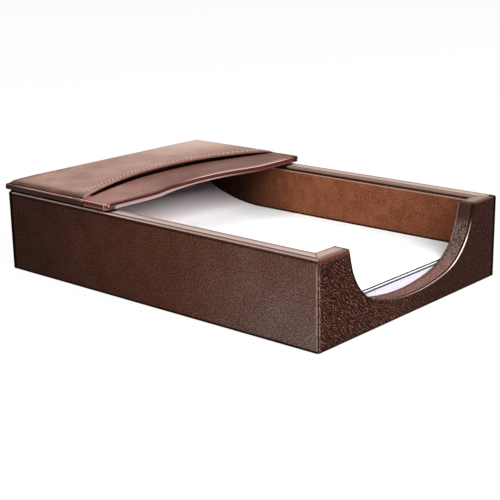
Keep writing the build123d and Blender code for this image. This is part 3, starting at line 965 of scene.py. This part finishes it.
def cover_plan():
    """Places round the covered board's plan, anticlockwise from its front right corner.

    Each is a corner with the angle of a point on its roll, or an edge's point with the way in.
    """
    side, rear = strip_high.x, strip_high.y
    # The leather's own front and sides stand out as far as the upper leather's folds.
    wide, front = side + fold_thickness, strip_low.y - fold_thickness

    def corner(x, y, start):
        return [("corner", Vector((x, y)), math.radians(start + 15 * step)) for step in range(7)]

    def step_in(x, inward):
        points = (Vector((wide * x, top_low.y - 0.5 * mm)), Vector((side * x, top_low.y)))
        return [("edge", point, Vector((inward, 0))) for point in points]

    radius = arc_radius(recess_width / 2, recess_depth)
    centre = Vector((0, front + recess_depth - radius))
    rise = recess_blend + radius - recess_depth
    blend_centre = Vector((math.sqrt((radius + recess_blend) ** 2 - rise**2), front + recess_blend))
    meet = math.degrees(math.atan2(rise, blend_centre.x))
    recess = [Vector(point) for point in arc(centre, radius, 90, meet, 14)]
    blend = [Vector(point) for point in arc(blend_centre, recess_blend, meet - 180, -90, 10)]
    half = [("edge", point, (point - centre).normalized()) for point in recess]
    half += [("edge", point, (blend_centre - point).normalized()) for point in blend[1:]]
    other = [("edge", Vector((-p.x, p.y)), Vector((-w.x, w.y))) for _, p, w in reversed(half[1:])]
    return (
        corner(wide, front, -90)
        + step_in(1, -1)
        + corner(side, rear, 0)
        + corner(-side, rear, 90)
        + list(reversed(step_in(-1, 1)))
        + corner(-wide, front, 180)
        + other
        + half
    )


def plan_point(place, inset):
    """Where a place of the plan lies when the outline is drawn in by an inset."""
    kind, point, way = place
    if kind == "edge":
        return point + way * inset
    middle_y = (strip_low.y + strip_high.y) / 2
    inward = Vector((-math.copysign(1, point.x), math.copysign(1, middle_y - point.y)))
    on_roll = Vector((math.cos(way), math.sin(way))) * max(cover_corner - inset, 0)
    return point + inward * max(inset, cover_corner) + on_roll


def build_cover_seat():
    """The thin layer that sets the cover off the rims, and leaves a line of painted shade under it."""
    low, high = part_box("cover_seat")
    overhang, corner = 2.6 * mm, 2
    side, rear = low.x - overhang, high.y + overhang
    corners = ((-side, low.y, 270), (-side, rear, 0), (side, rear, 90), (side, low.y, 180))
    middle_y = (low.y + rear) / 2
    rings = []
    for inset, height in ((0.2, low.z), (0, low.z + 0.2 * mm), (0, high.z - 0.2 * mm), (0.2, high.z)):
        ring = []
        for x, y, start in corners:
            centre = (x - math.copysign(corner * mm, x), y - math.copysign(corner * mm, y - middle_y))
            ring += arc(centre, (corner - inset) * mm, start, start + 90, 6)
        rings.append([Vector((x, y, height)) for x, y in ring])
    mesh = cleaned(lofted(rings), "cover_seat")
    placed("cover_spacer", mesh, smooth_leather, "holder", "cover_seat")


def strip_section():
    """Section of the covered board's edge: a thin lower lip, a seam, and a rolled upper edge."""
    low, high = strip_low.z, strip_high.z
    lip, roll, seam = 0.28 * mm, 0.62 * mm, 0.3 * mm
    section = [(6 * mm, low)]
    section += arc((lip, low + lip), lip, 270, 180, 6)
    section += [(0.06 * mm, low + 0.5 * mm), (seam, low + 0.66 * mm), (0.1 * mm, low + 0.86 * mm)]
    section += [(0, low + 1.1 * mm)]
    section += arc((roll, high - roll), roll, 180, 90, 8)
    section += [(at, high - (high - z) * 0.7) for at, z in crease(crease_setback, high)]
    return section + [(3 * mm, high + 0.06 * mm), (6 * mm, high + 0.1 * mm)]


def build_cover_board():
    plan = cover_plan()
    rings = []
    for inset, height in strip_section():
        ring = [Vector((*plan_point(place, inset), height)) for place in plan]
        for point in ring:
            # Under the upper leather's creased rim the board's own edge is lower.
            if inset < 2.5 * mm and point.y > top_low.y:
                point.z = min(point.z, strip_high.z - 0.6 * mm)
        rings.append(ring)
    mesh = cleaned(lofted(rings), "cover_strip")
    even_shading(placed("cover_strip", mesh, cover_leather, "holder", "cover_lower_leather"))


# ---------------------------------------------------------------- padded upper leather


def rounding(distance, length, drop):
    """How far an arc has fallen at a distance along it, when it falls a drop over a length."""
    radius = arc_radius(length, drop)
    return radius - math.sqrt(max(radius**2 - min(max(distance, 0), length) ** 2, 0))


def crown_height(x, y):
    """Height of the padded leather's upper face, which falls to both sides and the rear."""
    across = rounding(abs(x), crown_reach, crown_arc_rise)
    if abs(x) > crown_reach:
        turn_radius = arc_radius(crown_reach, crown_arc_rise)
        turn = math.asin(crown_reach / turn_radius)
        shoulder_x = (turn_radius - shoulder_radius) * math.sin(turn)
        shoulder_z = (turn_radius - shoulder_radius) * math.cos(turn) - turn_radius
        rest = math.sqrt(shoulder_radius**2 - (abs(x) - shoulder_x) ** 2)
        across = -shoulder_z - rest
    fall = crown_top + rear_rounding_lift - side_height
    rearward = rounding(y - (top_high.y - rear_rounding_length), rear_rounding_length, fall)
    return crown_top - max(across, rearward - rear_rounding_lift)


def pocket_edge(x):
    """How far back the pocket's edge lies at a distance across the cover."""
    return top_low.y + pocket_arc_rise - pocket_radius + math.sqrt(pocket_radius**2 - x**2)


def leather_height(x, y):
    """The upper leather's height: its crown, and a rolled and creased edge on three sides."""
    across, back = top_high.x - abs(x), top_high.y - y
    inset = min(across, back)
    if across < cover_corner and back < cover_corner:
        inset = cover_corner - math.hypot(cover_corner - across, cover_corner - back)
    inset = max(inset, 0)
    roll = 0.55 * mm
    rim = side_height + 0.05 * mm - rounding(roll - inset, roll, roll)
    share = smooth_share(inset, 0.9 * mm, 2.4 * mm)
    groove = 0.2 * mm * math.exp(-(((inset - 1.2 * mm) / (0.3 * mm)) ** 2))
    crown = crown_height(x, y) + swelling(x, y) * smooth_share(inset, 1.5 * mm, 6 * mm)
    return rim * (1 - share) + crown * share - groove


def edge_steps(reach, gap):
    """Distances in from a rolled edge: close together over its roll and its crease."""
    steps = [n * mm for n in (0, 0.04, 0.12, 0.25, 0.4, 0.55, 0.7, 0.85, 1.0, 1.15, 1.3, 1.5, 1.8)]
    count = int((reach - steps[-1]) / gap)
    return steps + [steps[-1] + (reach - steps[-1]) * (k + 1) / count for k in range(count)]


def build_cover_top():
    steps = edge_steps(top_high.x, 0.7 * mm)
    columns = [step - top_high.x for step in steps] + [top_high.x - s for s in reversed(steps[:-1])]
    half = pocket_edge_thickness / 2
    # The hem turns under the pocket's edge: distance back from the edge, and drop.
    under = [(hem_length * k / 6, pocket_edge_thickness) for k in range(6, 0, -1)]
    under += [(half + back, half + drop) for back, drop in arc((0, 0), half, 90, 270, 10)]
    over = [(back * mm, 0) for back in (0.9, 1.3, 1.7, 2.1, 2.4, 2.7, 3.1, 3.6, 4.2, 5.0, 6.0)]
    rows = []
    for back, drop in under + over:
        row = []
        for x in columns:
            y = pocket_edge(x) + back
            above_hem = leather_height(x, y)
            height = above_hem - drop
            if drop > half:
                height = min(max(height, strip_top + 0.12 * mm), above_hem - 0.3 * mm)
            row.append(Vector((x, y, height)))
        rows.append(row)
    rear_steps = edge_steps(3 * mm, 0.6 * mm)
    spans = 56
    for span in range(1, spans):
        row = []
        for x in columns:
            start = pocket_edge(x) + 6 * mm
            y = start + (top_high.y - 3 * mm - start) * span / spans
            row.append(Vector((x, y, leather_height(x, y))))
        rows.append(row)
    for back in reversed(rear_steps):
        rows.append([Vector((x, top_high.y - back, 0)) for x in columns])
        for point in rows[-1]:
            point.z = leather_height(point.x, point.y)
    for row in rows:
        for point in row:
            round_rear_corner(point)
    shell = bmesh.new()
    verts = [[shell.verts.new(point) for point in row] for row in rows]
    join_rows(shell, verts)
    # Folds hang down the sides and the rear, over the covered board's edge.
    top = verts[len(under) - 1:]
    border = [row[0] for row in top] + top[-1][1:] + [row[-1] for row in reversed(top[:-1])]
    above = border
    for share in (0.35, 0.7, 1.0):
        below = []
        for vert in border:
            height = vert.co.z + (top_low.z - vert.co.z) * share
            below.append(shell.verts.new((vert.co.x, vert.co.y, height)))
        join_rows(shell, [above, below])
        above = below
    bmesh.ops.remove_doubles(shell, verts=shell.verts, dist=merge_distance)
    mesh = mesh_of(shell, "cover_top")
    made = placed("cover_top", mesh, cover_leather, "holder", "cover_top_leather", sharp=60)
    thick = made.modifiers.new("thickness", "SOLIDIFY")
    thick.thickness = skin_thickness
    thick.offset = -1


def round_rear_corner(point):
    """Moves a point of the square plan onto the plan whose rear corners are rolled."""
    across = cover_corner - (top_high.x - abs(point.x))
    back = cover_corner - (top_high.y - point.y)
    if across > 0 and back > 0:
        scale = max(across, back) / math.hypot(across, back)
        point.x = math.copysign(top_high.x - cover_corner + across * scale, point.x)
        point.y = top_high.y - cover_corner + back * scale


# ---------------------------------------------------------------- padding


def padding_shell(lowered):
    """The wadding under the upper leather, closed, and lower than its room by an amount."""
    low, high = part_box("cover_pad")
    across, spans = 76, 26
    upper, lower = [], []
    for k in range(across + 1):
        x = low.x + (high.x - low.x) * k / across
        top_row, bottom_row = [], []
        for span in range(spans + 1):
            start = pocket_edge(x) + hem_length + 0.3 * mm
            y = start + (high.y - start) * span / spans
            edge = min(high.x - abs(x), y - start, high.y - y)
            room = crown_height(x, y) - leather_over_wadding - low.z
            height = low.z + max(room * (1 - (1 - min(edge / (4 * mm), 1)) ** 2), 0) - lowered
            top_row.append(Vector((x, y, max(height, low.z + 0.03 * mm))))
            bottom_row.append(Vector((x, y, low.z)))
        upper.append(top_row)
        lower.append(bottom_row)
    return lofted([top + bottom[::-1] for top, bottom in zip(upper, lower)])


def build_padding():
    """Makes the cover's wadding, swollen above its glued lower face, and returns its surface."""
    rise = 0.35 * mm
    mesh = cleaned(padding_shell(rise), "cover_wadding")
    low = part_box("cover_pad")[0]
    made = added("wadding_cloth", mesh)
    frames = 20
    before = [vert.co.copy() for vert in mesh.vertices]
    glued = made.vertex_groups.new(name="glued")
    glued.add([v.index for v in mesh.vertices if v.co.z < low.z + 0.02 * mm], 1.0, "REPLACE")
    cloth = made.modifiers.new("cloth", "CLOTH")
    settings = cloth.settings
    settings.vertex_group_mass = "glued"
    settings.use_pressure = True
    settings.uniform_pressure_force = 4
    settings.mass = 0.02
    settings.tension_stiffness = 12
    settings.compression_stiffness = 12
    settings.bending_stiffness = 0.4
    settings.effector_weights.gravity = 0
    cloth.point_cache.frame_end = frames
    for step in range(1, frames + 1):
        bpy.context.scene.frame_set(step)
    swollen = evaluated_mesh(made)
    bpy.context.scene.frame_set(1)
    for vert, start in zip(swollen.vertices, before):
        move = vert.co - start
        vert.co = start + move * min(1, 2 * rise / max(move.length, 1e-9))
    mesh = swollen
    bpy.data.objects.remove(made)
    wad = placed("cover_wadding", mesh, wadding, "holder", "cover_pad", sharp=60)
    softer = wad.modifiers.new("softer", "SUBSURF")
    softer.levels = softer.render_levels = 1
    places = [vert.co for vert in mesh.vertices]
    return BVHTree.FromPolygons(places, [face.vertices for face in mesh.polygons])


def swelling(x, y):
    """How far the wadding lifts the leather beyond its even crown."""
    hit = padding.ray_cast(Vector((x, y, crown_top + 5 * mm)), Vector((0, 0, -1)))[0]
    if hit is None:
        return 0
    return max(-0.3 * mm, min(0.3 * mm, hit.z - (crown_height(x, y) - leather_over_wadding)))


# ---------------------------------------------------------------- repeated pieces


class Pattern(NodeTree):
    """A geometry tree with named sizes, which makes a repeated piece."""

    def __init__(self, name, sizes):
        super().__init__(bpy.data.node_groups.new(name, "GeometryNodeTree"))
        faces = self.tree.interface
        faces.new_socket("Geometry", in_out="INPUT", socket_type="NodeSocketGeometry")
        self.sizes = {}
        for size, value in sizes.items():
            kind = "NodeSocketInt" if isinstance(value, int) else "NodeSocketFloat"
            made = faces.new_socket(size, in_out="INPUT", socket_type=kind)
            self.sizes[made.identifier] = value
        faces.new_socket("Geometry", in_out="OUTPUT", socket_type="NodeSocketGeometry")
        self.given = self.add("NodeGroupInput", {}, None)

    def size(self, name):
        return Value(self, self.given.outputs[name])

    def made(self, name, base, copies, finish, body, replaced):
        """The tree's result on a base, as a plain mesh piece."""
        real = self.add("GeometryNodeRealizeInstances", {"Geometry": copies})
        dressed = {"Geometry": real, "Material": finish.material}
        dressed = self.add("GeometryNodeSetMaterial", dressed)
        self.add("NodeGroupOutput", {"Geometry": dressed}, None)
        maker = added("maker", base)
        modifier = maker.modifiers.new("pattern", "NODES")
        modifier.node_group = self.tree
        for identifier, value in self.sizes.items():
            modifier[identifier] = value
        mesh = evaluated_mesh(maker)
        bpy.data.objects.remove(maker)
        return placed(name, mesh, finish, body, replaced)


def build_stitches():
    """Stitches along the pocket's edge, each one sunk into the leather."""
    spans = 120
    points = []
    for k in range(spans + 1):
        x = -crown_reach + 2 * crown_reach * k / spans
        y = pocket_edge(x) + stitch_setback
        points.append((x, y, leather_height(x, y) + 0.14 * mm))
    row = bpy.data.meshes.new("stitch_row")
    row.from_pydata(points, [(k, k + 1) for k in range(spans)], [])
    sizes = {
        "Stitches": stitches,
        "Length": stitch_length,
        "Diameter": thread_diameter,
        "Seed": 4,
    }
    pattern = Pattern("stitch_pattern", sizes)
    base = Value(pattern, pattern.given.outputs[0])
    curve = pattern.add("GeometryNodeMeshToCurve", {"Mesh": base})
    points = {"Curve": curve, "Count": pattern.size("Stitches")}
    points = pattern.add("GeometryNodeResampleCurve", points)
    tangent = pattern.add("GeometryNodeInputTangent")
    turned = pattern.add("FunctionNodeAlignRotationToVector", {"Vector": tangent}, axis="X")
    ball = pattern.add("GeometryNodeMeshUVSphere", {"Segments": 10, "Rings": 8, "Radius": 0.5})
    shape = {"X": pattern.size("Length"), "Y": pattern.size("Diameter"), "Z": pattern.size("Diameter")}
    shape = pattern.add("ShaderNodeCombineXYZ", shape)
    tilts = {"Min": (-0.04, -0.03, 0.0), "Max": (0.04, 0.03, 0.16), "Seed": pattern.size("Seed")}
    tilt = pattern.add("FunctionNodeRandomValue", tilts, data_type="FLOAT_VECTOR")
    lying = {"Rotation": turned, "Rotate By": tilt}
    lying = pattern.add("FunctionNodeRotateRotation", lying, rotation_space="LOCAL")
    copies = {"Points": points, "Instance": ball, "Rotation": lying, "Scale": shape}
    copies = pattern.add("GeometryNodeInstanceOnPoints", copies)
    pattern.made("cover_stitches", row, copies, thread, "holder", "cover_stitching")


def build_lower_sheets():
    """The lower sheets: a loose stack of flat ones, none quite in line with the next."""
    low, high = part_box("lower_note_stack")
    pitch = 0.1 * mm
    sizes = {
        "Sheets": int((high.z - low.z - 0.25 * mm) / pitch),
        "Width": high.x - low.x - 0.3 * mm,
        "Length": high.y - low.y - 0.3 * mm,
        "Thickness": 0.085 * mm,
        "Pitch": pitch,
        "Shift": 0.14 * mm,
        "Seed": 7,
    }
    pattern = Pattern("sheet_pattern", sizes)
    step = pattern.add("ShaderNodeCombineXYZ", {"Z": pattern.size("Pitch")})
    start = ((low.x + high.x) / 2, (low.y + high.y) / 2, low.z + 0.05 * mm)
    line = {"Count": pattern.size("Sheets"), "Start Location": start, "Offset": step}
    line = pattern.add("GeometryNodeMeshLine", line, mode="OFFSET")
    size = {"X": pattern.size("Width"), "Y": pattern.size("Length"), "Z": pattern.size("Thickness")}
    size = pattern.add("ShaderNodeCombineXYZ", size)
    sheet = pattern.add("GeometryNodeMeshCube", {"Size": size})
    shifts = {"Min": (-1, -1, 0), "Max": (1, 1, 0), "Seed": pattern.size("Seed")}
    shift = pattern.add("FunctionNodeRandomValue", shifts, data_type="FLOAT_VECTOR")
    shift = {0: shift, "Scale": pattern.size("Shift")}
    shift = pattern.add("ShaderNodeVectorMath", shift, operation="SCALE")
    moved = pattern.add("GeometryNodeSetPosition", {"Geometry": line, "Offset": shift})
    copies = pattern.add("GeometryNodeInstanceOnPoints", {"Points": moved, "Instance": sheet})
    base = bpy.data.meshes.new("stack_base")
    pattern.made("lower_sheets", base, copies, note_paper, "notes", "lower_note_stack")


def curled_sheet(shell, left, right, bottom, thickness, front):
    """Adds a sheet that lies flat at the front and curls up at the rear."""
    group_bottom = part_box("upper_note_sheets")[0].z
    curl_start = sheets_front + flat_sheet_length
    outer = sheet_curl_radius - (bottom - group_bottom)
    centre = (curl_start, group_bottom + sheet_curl_radius)
    curl = math.degrees((sheet_length - flat_sheet_length) / sheet_curl_radius)
    lower = [(front, bottom)] + arc(centre, outer, -90, -90 + curl, 18)
    upper = [(front, bottom + thickness)] + arc(centre, outer - thickness, -90, -90 + curl, 18)
    section = lower + upper[::-1]
    rows = [[shell.verts.new((x, y, z)) for y, z in section] for x in (left, right)]
    join_rows(shell, rows, closed=True)
    count = len(section)
    for row in rows:
        for k in range(count // 2 - 1):
            shell.faces.new((row[k], row[k + 1], row[count - 2 - k], row[count - 1 - k]))


def build_curled_sheets():
    """The upper sheets and the top one, which curl up under the cover."""
    low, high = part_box("upper_note_sheets")
    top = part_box("top_note_sheet")[0].z
    shell = bmesh.new()
    first, last = low.z + 0.12 * mm, top - 0.3 * mm
    for k in range(upper_sheets):
        bottom = first + (last - first) * k / (upper_sheets - 1)
        # No sheet lies quite in line with the next.
        slip = 0.1 * mm * math.sin(2.4 * k)
        left, right, front = low.x + 0.1 * mm + slip / 2, high.x - 0.1 * mm, low.y + 0.12 * mm + slip
        curled_sheet(shell, left, right, bottom, upper_sheet_thickness, front)
    mesh = cleaned(shell, "upper_sheets")
    placed("upper_sheets", mesh, note_paper, "notes", "upper_note_sheets")
    shell = bmesh.new()
    curled_sheet(shell, low.x, high.x, top, top_sheet_thickness, low.y)
    placed("top_sheet", cleaned(shell, "top_sheet"), note_paper, "notes", "top_note_sheet")


# ---------------------------------------------------------------- the holder, piece by piece


def dress_plain_pieces():
    """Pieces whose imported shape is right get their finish."""
    finishes = {"base_felt": felt, "floor_lining": suede}
    boarded = ("base", "left_wall", "right_wall", "rear_wall", "front_wall", "cover")
    finishes |= {f"{place}_board": fibreboard for place in boarded}
    for node, finish in finishes.items():
        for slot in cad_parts[node].material_slots:
            slot.material = finish.material


dress_plain_pieces()
build_walls()
build_scoop_band()
build_cover_seat()
build_cover_board()
padding = build_padding()
build_cover_top()
build_stitches()
build_lower_sheets()
build_curled_sheets()

# ---------------------------------------------------------------- stage, light and camera

# The way that the camera faces, along the floor.
away = Vector((0.75, 0.661, 0))


def build_floor():
    reach = 6
    corners = [(x * reach, y * reach, 0) for x, y in ((-1, -1), (1, -1), (1, 1), (-1, 1))]
    mesh = bpy.data.meshes.new("floor")
    mesh.from_pydata(corners, [], [(0, 1, 2, 3)])
    added("floor", mesh)
    finish = Finish("pale_floor")
    rays = finish.add("ShaderNodeLightPath", {}, None)
    seen, glossy, passing = (
        Value(finish, rays.outputs[f"Is {kind} Ray"]) for kind in ("Camera", "Glossy", "Transmission")
    )
    seen = seen.most(glossy).most(passing)
    finish.colour = (0.9, 0.9, 0.9)
    finish.set(Roughness=0.9, Specular_IOR_Level=0.1)
    white = finish.add("ShaderNodeEmission", {"Color": (1, 1, 1), "Strength": 1.0})
    lit = Value(finish, finish.shader.outputs[0])
    both = finish.add("ShaderNodeMixShader", {0: seen * 0.93, 1: lit, 2: white})
    finish.tree.links.new(both.socket, finish.tree.nodes["Material Output"].inputs["Surface"])
    mesh.materials.append(finish.material)


def build_world():
    """White where the camera sees it, and lit less from the camera's side."""
    world = bpy.data.worlds.new("studio")
    bpy.context.scene.world = world
    world.use_nodes = True
    sky = NodeTree(world.node_tree)
    rays = sky.add("ShaderNodeLightPath", {}, None)
    seen, passing = (Value(sky, rays.outputs[f"Is {kind} Ray"]) for kind in ("Camera", "Transmission"))
    way = sky.add("ShaderNodeTexCoord", {}, "Generated")
    ways = {0: way, 1: (away.x, away.y, 0.35)}
    behind = sky.add("ShaderNodeVectorMath", ways, "Value", operation="DOT_PRODUCT")
    strength = behind.rise(-0.6, 0.8) * 0.38 + 0.08
    background = world.node_tree.nodes["Background"]
    sky.feed(background.inputs["Color"], (1, 1, 1))
    sky.feed(background.inputs["Strength"], strength.most(seen.most(passing)))


def lamp(name, place, width, height, power):
    """A white soft box at a place, turned to the middle of the tray's foot."""
    light = bpy.data.lights.new(name, "AREA")
    light.shape = "RECTANGLE"
    light.size, light.size_y = width, height
    light.energy = power
    made = added(name, light)
    made.visible_camera = False
    made.location = place
    made.rotation_euler = (-Vector(place)).to_track_quat("-Z", "Y").to_euler()


def build_camera():
    """The photograph's camera, fitted to the outline of the tray and its cover."""
    place = Vector((-370.64, -328.18, 151.85)) * mm
    turn, tilt, roll = (math.radians(angle) for angle in (-48.5731, 16.0156, -0.9699))
    back = Vector(
        (math.sin(turn) * math.cos(tilt), -math.cos(turn) * math.cos(tilt), math.sin(tilt))
    )
    side = Vector((0, 0, 1)).cross(back).normalized()
    above = back.cross(side)
    across = side * math.cos(roll) + above * math.sin(roll)
    up = above * math.cos(roll) - side * math.sin(roll)
    data = bpy.data.cameras.new("camera")
    data.sensor_width = 36
    data.lens = 85.7935
    data.clip_start = 0.01
    made = added("camera", data)
    made.matrix_world = Matrix.Translation(place) @ Matrix((across, up, back)).transposed().to_4x4()
    bpy.context.scene.camera = made


build_floor()
build_world()
lamp("soft_box_behind", away * 1.3 + Vector((0, 0, 0.6)), 1.3, 0.7, 2)
lamp("soft_box_in_front", (-0.1, -1.1, 0.75), 1.6, 0.6, 31)
lamp("soft_box_at_left", (-1.1, -0.45, 0.8), 0.6, 0.6, 4.5)
lamp("soft_box_above", (-0.5, 0.2, 1.2), 0.6, 0.6, 5)
lamp("soft_box_at_right", (0.9, -1.0, 0.75), 0.6, 0.5, 7)
build_camera()
bpy.context.scene.view_settings.view_transform = "Standard"
